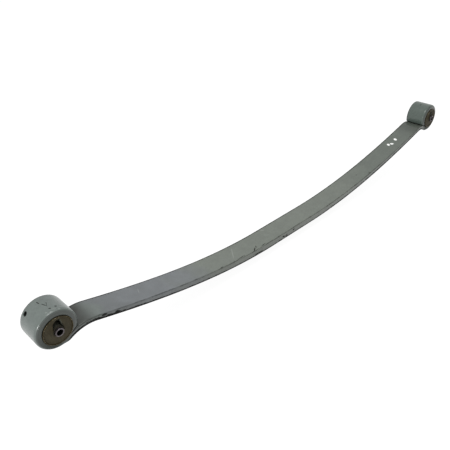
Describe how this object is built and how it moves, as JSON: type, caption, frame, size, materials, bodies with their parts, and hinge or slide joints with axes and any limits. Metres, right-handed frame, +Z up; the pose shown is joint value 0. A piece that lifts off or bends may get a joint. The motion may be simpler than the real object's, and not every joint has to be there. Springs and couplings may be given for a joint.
{
  "type": "leaf spring",
  "caption": "Single tapered leaf spring, concave side up, with an upturned eye at each end and a rubber-metal bush in each eye.",
  "frame": {"origin": "centre of the front eye, which is the middle of the front inner sleeve's bore", "axes": "+X from the front eye to the rear eye, +Y along the eyes' bores, +Z up from the seat towards the eyes"},
  "size_m": [1.2, 0.064, 0.1328],
  "materials": {
    "leaf_paint": "satin grey-green paint on spring steel",
    "outer_sleeve_steel": "yellow-passivated steel",
    "bush_rubber": "matt olive-brown rubber",
    "inner_sleeve_steel": "bare turned steel"
  },
  "bodies": {
    "seat": {"leaf_seat": "leaf_paint"},
    "front_arm": {"leaf_front_arm": "leaf_paint", "front_outer_sleeve": "outer_sleeve_steel", "front_rubber_bush": "bush_rubber"},
    "front_sleeve": {"front_inner_sleeve": "inner_sleeve_steel"},
    "rear_arm": {"leaf_rear_arm": "leaf_paint", "rear_outer_sleeve": "outer_sleeve_steel", "rear_rubber_bush": "bush_rubber"},
    "rear_sleeve": {"rear_inner_sleeve": "inner_sleeve_steel"}
  },
  "joints": [
    {"name": "front_arm_flex", "type": "hinge", "parent": "seat", "child": "front_arm", "pos_m": [0.3255, 0, -0.07783], "axis": [0, -1, 0], "range_deg": [-2, 14], "stiffness_Nm_per_rad": 6500},
    {"name": "rear_arm_flex", "type": "hinge", "parent": "seat", "child": "rear_arm", "pos_m": [0.7885, 0, -0.07861], "axis": [0, 1, 0], "range_deg": [-2, 14], "stiffness_Nm_per_rad": 6300},
    {"name": "front_sleeve_twist", "type": "hinge", "parent": "front_arm", "child": "front_sleeve", "pos_m": [0, 0, 0], "axis": [0, 1, 0], "range_deg": [-25, 25], "stiffness_Nm_per_rad": 70},
    {"name": "rear_sleeve_twist", "type": "hinge", "parent": "rear_arm", "child": "rear_sleeve", "pos_m": [1.13, 0, 0], "axis": [0, 1, 0], "range_deg": [-25, 25], "stiffness_Nm_per_rad": 70}
  ]
}
